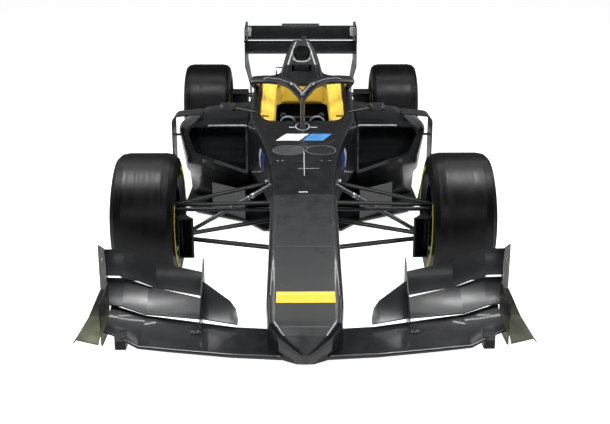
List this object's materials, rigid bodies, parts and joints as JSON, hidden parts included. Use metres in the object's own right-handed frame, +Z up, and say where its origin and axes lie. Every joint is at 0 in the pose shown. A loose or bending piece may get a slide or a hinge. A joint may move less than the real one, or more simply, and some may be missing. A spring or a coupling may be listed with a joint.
{
  "type": "open wheel racing car",
  "caption": "Single-seat open wheel racing car with front and rear wings, head protection hoop, side pods, slick tyres and steered front wheels.",
  "frame": {"origin": "on the ground, halfway along the car, on its centre line", "axes": "+Z up, the nose points to -Y, +X is the car's left side"},
  "size_m": [1.9, 5.224, 1.004],
  "materials": {
    "carbon": "lacquered carbon fibre",
    "carbon_matt": "satin carbon fibre",
    "carbon_olive": "lacquered, olive tint",
    "tyre_rubber": "slick rubber",
    "wheel_alloy": "dark satin paint",
    "suspension_paint": "black gloss",
    "bare_steel": "machined",
    "halo_paint": "purple black satin",
    "yellow_foam": "covered foam",
    "seat_shell": "satin",
    "cast_alloy": "as cast",
    "lamp_red": "clear lens",
    "plank_wood": "laminated, unpainted",
    "radiator_core": "finned, dark",
    "grip_plastic": "moulded",
    "grey_housing": "satin"
  },
  "bodies": {
    "root": {"aerial": "grip_plastic", "bargeboards": "carbon_matt", "column_bracket": "carbon", "crash_structure": "carbon", "diffuser": "carbon_matt", "engine_block": "cast_alloy", "engine_cover": "carbon", "exhaust": "bare_steel", "flap_actuator": "grey_housing", "floor": "carbon_matt", "front_lower_wishbones": "suspension_paint", "front_pushrods": "bare_steel", "front_upper_wishbones": "suspension_paint", "front_wing_endplate_left": "carbon_olive", "front_wing_endplate_right": "carbon_olive", "front_wing_fences": "carbon", "front_wing_flaps_left": "carbon", "front_wing_flaps_right": "carbon", "front_wing_main_plane": "carbon", "gearbox": "cast_alloy", "halo": "halo_paint", "head_surround": "yellow_foam", "mirrors": "carbon", "nose_cone": "carbon", "plank": "plank_wood", "pod_vanes": "carbon_matt", "radiators": "radiator_core", "rain_light": "lamp_red", "rear_lower_wishbones": "suspension_paint", "rear_pushrods": "bare_steel", "rear_upper_wishbones": "suspension_paint", "rear_uprights": "cast_alloy", "rear_wing_endplate_left": "carbon", "rear_wing_endplate_right": "carbon", "rear_wing_main_plane": "carbon", "rear_wing_pylons": "carbon", "roll_hoop": "carbon", "seat": "seat_shell", "side_pod_left": "carbon", "side_pod_right": "carbon", "survival_cell": "carbon"},
    "knuckle_left": {"front_upright_left": "cast_alloy", "front_brake_duct_left": "carbon"},
    "knuckle_right": {"front_upright_right": "cast_alloy", "front_brake_duct_right": "carbon"},
    "wheel_front_left": {"front_tyre_left": "tyre_rubber", "front_wheel_left": "wheel_alloy"},
    "wheel_front_right": {"front_tyre_right": "tyre_rubber", "front_wheel_right": "wheel_alloy"},
    "wheel_rear_left": {"rear_tyre_left": "tyre_rubber", "rear_wheel_left": "wheel_alloy", "drive_shaft_left": "bare_steel"},
    "wheel_rear_right": {"rear_tyre_right": "tyre_rubber", "rear_wheel_right": "wheel_alloy", "drive_shaft_right": "bare_steel"},
    "rack": {"steering_rack": "suspension_paint"},
    "steering": {"steering_wheel": "grip_plastic", "steering_column": "bare_steel"},
    "flap": {"rear_wing_flap": "carbon"}
  },
  "joints": [
    {"name": "steer_left", "type": "hinge", "parent": "root", "child": "knuckle_left", "pos_m": [0.69, -1.323, 0.33], "axis": [0, 0, 1], "range_deg": [-15, 15]},
    {"name": "steer_right", "type": "hinge", "parent": "root", "child": "knuckle_right", "pos_m": [-0.69, -1.323, 0.33], "axis": [0, 0, 1], "range_deg": [-15, 15]},
    {"name": "rack_slide", "type": "slide", "parent": "root", "child": "rack", "axis": [1, 0, 0], "range_m": [-0.0276, 0.0276]},
    {"name": "steering_wheel_turn", "type": "hinge", "parent": "root", "child": "steering", "pos_m": [0, -0.363, 0.606], "axis": [0, 0.9397, 0.342], "range_deg": [-120.5, 120.5]},
    {"name": "flap_open", "type": "hinge", "parent": "root", "child": "flap", "pos_m": [0, 2.545, 0.893], "axis": [1, 0, 0], "range_deg": [-25, 0]},
    {"name": "front_left_roll", "type": "hinge", "parent": "knuckle_left", "child": "wheel_front_left", "pos_m": [0.7925, -1.323, 0.33], "axis": [1, 0, 0], "continuous": true},
    {"name": "rear_left_roll", "type": "hinge", "parent": "root", "child": "wheel_rear_left", "pos_m": [0.7575, 1.812, 0.33], "axis": [1, 0, 0], "continuous": true},
    {"name": "front_right_roll", "type": "hinge", "parent": "knuckle_right", "child": "wheel_front_right", "pos_m": [-0.7925, -1.323, 0.33], "axis": [1, 0, 0], "continuous": true},
    {"name": "rear_right_roll", "type": "hinge", "parent": "root", "child": "wheel_rear_right", "pos_m": [-0.7575, 1.812, 0.33], "axis": [1, 0, 0], "continuous": true}
  ],
  "couplings": [
    {"joint": "steer_right", "follows": "steer_left", "ratio": 1},
    {"joint": "rack_slide", "follows": "steer_left", "m_per_rad": 0.105},
    {"joint": "steering_wheel_turn", "follows": "steer_left", "ratio": 8}
  ]
}
